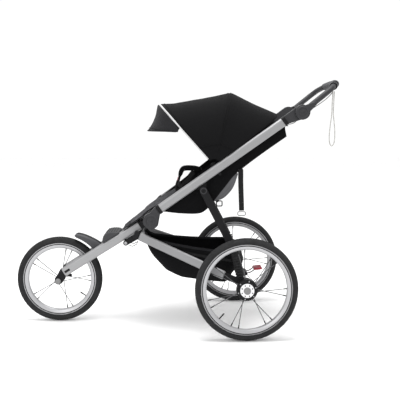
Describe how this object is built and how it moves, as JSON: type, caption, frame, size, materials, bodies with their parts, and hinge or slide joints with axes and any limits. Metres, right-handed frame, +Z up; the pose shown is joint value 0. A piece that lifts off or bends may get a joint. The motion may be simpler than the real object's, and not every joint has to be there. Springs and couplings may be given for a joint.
{
  "type": "jogging stroller",
  "caption": "Folding jogging stroller with a front wheel on a twin boom, two large rear wheels, a pleated canopy with visor, an under-seat basket and an adjustable handlebar.",
  "frame": {"origin": "centre of the bounding box in plan, on the floor under the tyres, measured without the wrist strap cord", "axes": "+Y backwards along the length, from the front wheel to the handlebar; +X to the stroller's left; +Z up"},
  "size_m": [0.69, 1.5095, 1.1353],
  "materials": {
    "frame_tube": "satin anodised aluminium, light grey",
    "dark_plastic": "charcoal moulded plastic",
    "seat_fabric": "grey melange woven fabric",
    "black_fabric": "black woven polyester",
    "harness_webbing": "black webbing and padding",
    "grip_foam": "grey closed-cell foam",
    "cord": "off-white braided cord",
    "tyre_rubber": "charcoal tyre rubber",
    "boot_rubber": "black ribbed rubber",
    "rim_alloy": "bright anodised rim",
    "hub_dark": "black hub with thin metal spokes",
    "bright_metal": "bright steel",
    "red_plastic": "dark red moulded plastic"
  },
  "bodies": {
    "upper_frame": {"upper_tube_left": "frame_tube", "upper_tube_right": "frame_tube", "hinge_housing_left": "dark_plastic", "hinge_housing_right": "dark_plastic", "strut_bracket_left": "dark_plastic", "strut_bracket_right": "dark_plastic", "canopy_clamp_left": "dark_plastic", "canopy_clamp_right": "dark_plastic", "handle_housing_left": "dark_plastic", "handle_housing_right": "dark_plastic", "seat_base": "seat_fabric", "harness": "harness_webbing", "canopy_rear": "black_fabric"},
    "buckle_button": {"buckle_button": "red_plastic"},
    "seat_back": {"seat_back": "black_fabric", "recline_strap": "harness_webbing"},
    "canopy_middle": {"canopy_middle": "black_fabric"},
    "canopy_front": {"canopy_front": "black_fabric", "canopy_bow": "bright_metal", "visor_front": "black_fabric"},
    "visor": {"visor_edge": "black_fabric"},
    "handlebar": {"handlebar": "dark_plastic", "foam_grip": "grip_foam", "wrist_strap_cord": "cord"},
    "hand_brake": {"hand_brake_sleeve": "dark_plastic"},
    "front_frame": {"lower_tube_left": "frame_tube", "lower_tube_right": "frame_tube", "yoke": "dark_plastic", "fork_end_left": "dark_plastic", "fork_end_right": "dark_plastic", "front_axle": "bright_metal", "fender": "dark_plastic", "footrest": "dark_plastic", "leg_rest_lower": "seat_fabric"},
    "quick_release": {"quick_release_lever": "dark_plastic"},
    "fold_catch": {"fold_catch": "bright_metal"},
    "front_wheel": {"front_tyre": "tyre_rubber", "front_rim": "rim_alloy", "front_hub": "hub_dark"},
    "struts": {"strut_left": "dark_plastic", "strut_right": "dark_plastic", "suspension_boot_left": "boot_rubber", "suspension_boot_right": "boot_rubber"},
    "rear_frame": {"rear_stay_left": "frame_tube", "rear_stay_right": "frame_tube", "stay_bracket_left": "dark_plastic", "stay_bracket_right": "dark_plastic", "rear_axle_bar": "frame_tube", "basket": "black_fabric"},
    "brake_pedal": {"brake_pedal": "red_plastic"},
    "brake_pin_left": {"brake_pin_left": "bright_metal"},
    "brake_pin_right": {"brake_pin_right": "bright_metal"},
    "rear_wheel_left": {"rear_tyre_left": "tyre_rubber", "rear_rim_left": "rim_alloy", "rear_hub_left": "hub_dark"},
    "rear_wheel_right": {"rear_tyre_right": "tyre_rubber", "rear_rim_right": "rim_alloy", "rear_hub_right": "hub_dark"},
    "release_left": {"hub_release_button_left": "bright_metal"},
    "release_right": {"hub_release_button_right": "bright_metal"}
  },
  "joints": [
    {"name": "fold", "type": "hinge", "parent": "upper_frame", "child": "front_frame", "pos_m": [0, -0.1146, 0.5018], "axis": [1, 0, 0], "range_deg": [0, 100]},
    {"name": "strut_swing", "type": "hinge", "parent": "upper_frame", "child": "struts", "pos_m": [0, 0.1173, 0.6366], "axis": [1, 0, 0], "range_deg": [0, 58]},
    {"name": "rear_frame_swing", "type": "hinge", "parent": "struts", "child": "rear_frame", "pos_m": [0, 0.285, 0.235], "axis": [1, 0, 0], "range_deg": [-25, 0]},
    {"name": "front_wheel_spin", "type": "hinge", "parent": "front_frame", "child": "front_wheel", "pos_m": [0, -0.555, 0.2], "axis": [1, 0, 0], "continuous": true},
    {"name": "rear_wheel_left_spin", "type": "hinge", "parent": "rear_frame", "child": "rear_wheel_left", "pos_m": [0.31, 0.2991, 0.2225], "axis": [1, 0, 0], "continuous": true},
    {"name": "rear_wheel_right_spin", "type": "hinge", "parent": "rear_frame", "child": "rear_wheel_right", "pos_m": [-0.31, 0.2991, 0.2225], "axis": [1, 0, 0], "continuous": true},
    {"name": "handlebar_tilt", "type": "hinge", "parent": "upper_frame", "child": "handlebar", "pos_m": [0, 0.5554, 0.983], "axis": [1, 0, 0], "range_deg": [-38, 30]},
    {"name": "hand_brake_twist", "type": "hinge", "parent": "handlebar", "child": "hand_brake", "pos_m": [0.136, 0.7069, 1.1027], "axis": [-0.903, 0.3567, 0.2393], "range_deg": [0, 35], "stiffness_Nm_per_rad": 0.3},
    {"name": "seat_recline", "type": "hinge", "parent": "upper_frame", "child": "seat_back", "pos_m": [0, 0.145, 0.58], "axis": [1, 0, 0], "range_deg": [-14, 0], "deforming": ["recline_strap"]},
    {"name": "canopy_fold", "type": "hinge", "parent": "upper_frame", "child": "canopy_front", "pos_m": [0, 0.1646, 0.7462], "axis": [1, 0, 0], "range_deg": [-56, 0], "deforming": ["canopy_front", "canopy_middle"]},
    {"name": "canopy_middle_fold", "type": "hinge", "parent": "upper_frame", "child": "canopy_middle", "pos_m": [0, 0.1646, 0.7462], "axis": [1, 0, 0], "range_deg": [-28, 0]},
    {"name": "visor_fold", "type": "hinge", "parent": "canopy_front", "child": "visor", "pos_m": [0, 0.0249, 0.8941], "axis": [1, 0, 0], "range_deg": [-20, 0], "deforming": ["visor_edge"]},
    {"name": "parking_brake", "type": "hinge", "parent": "rear_frame", "child": "brake_pedal", "pos_m": [0, 0.324, 0.224], "axis": [1, 0, 0], "range_deg": [-22, 0]},
    {"name": "brake_pin_left_slide", "type": "slide", "parent": "rear_frame", "child": "brake_pin_left", "axis": [1, 0, 0], "range_m": [0, 0.005]},
    {"name": "brake_pin_right_slide", "type": "slide", "parent": "rear_frame", "child": "brake_pin_right", "axis": [-1, 0, 0], "range_m": [0, 0.005]},
    {"name": "hub_release_left", "type": "slide", "parent": "rear_wheel_left", "child": "release_left", "axis": [-1, 0, 0], "range_m": [0, 0.004], "stiffness_N_per_m": 600},
    {"name": "hub_release_right", "type": "slide", "parent": "rear_wheel_right", "child": "release_right", "axis": [1, 0, 0], "range_m": [0, 0.004], "stiffness_N_per_m": 600},
    {"name": "quick_release", "type": "hinge", "parent": "front_frame", "child": "quick_release", "pos_m": [-0.06, -0.555, 0.2], "axis": [0, 0, 1], "range_deg": [0, 90]},
    {"name": "fold_catch_swing", "type": "hinge", "parent": "front_frame", "child": "fold_catch", "pos_m": [0, -0.19, 0.368], "axis": [1, 0, 0], "range_deg": [-30, 0]},
    {"name": "buckle_press", "type": "slide", "parent": "upper_frame", "child": "buckle_button", "axis": [0, 0.9659, -0.259], "range_m": [0, 0.002], "stiffness_N_per_m": 600}
  ],
  "couplings": [
    {"joint": "strut_swing", "follows": "fold", "ratio": 0.565},
    {"joint": "rear_frame_swing", "follows": "fold", "ratio": -0.243},
    {"joint": "canopy_middle_fold", "follows": "canopy_fold", "ratio": 0.5},
    {"joint": "brake_pin_left_slide", "follows": "parking_brake", "m_per_rad": -0.013022},
    {"joint": "brake_pin_right_slide", "follows": "parking_brake", "m_per_rad": -0.013022}
  ]
}
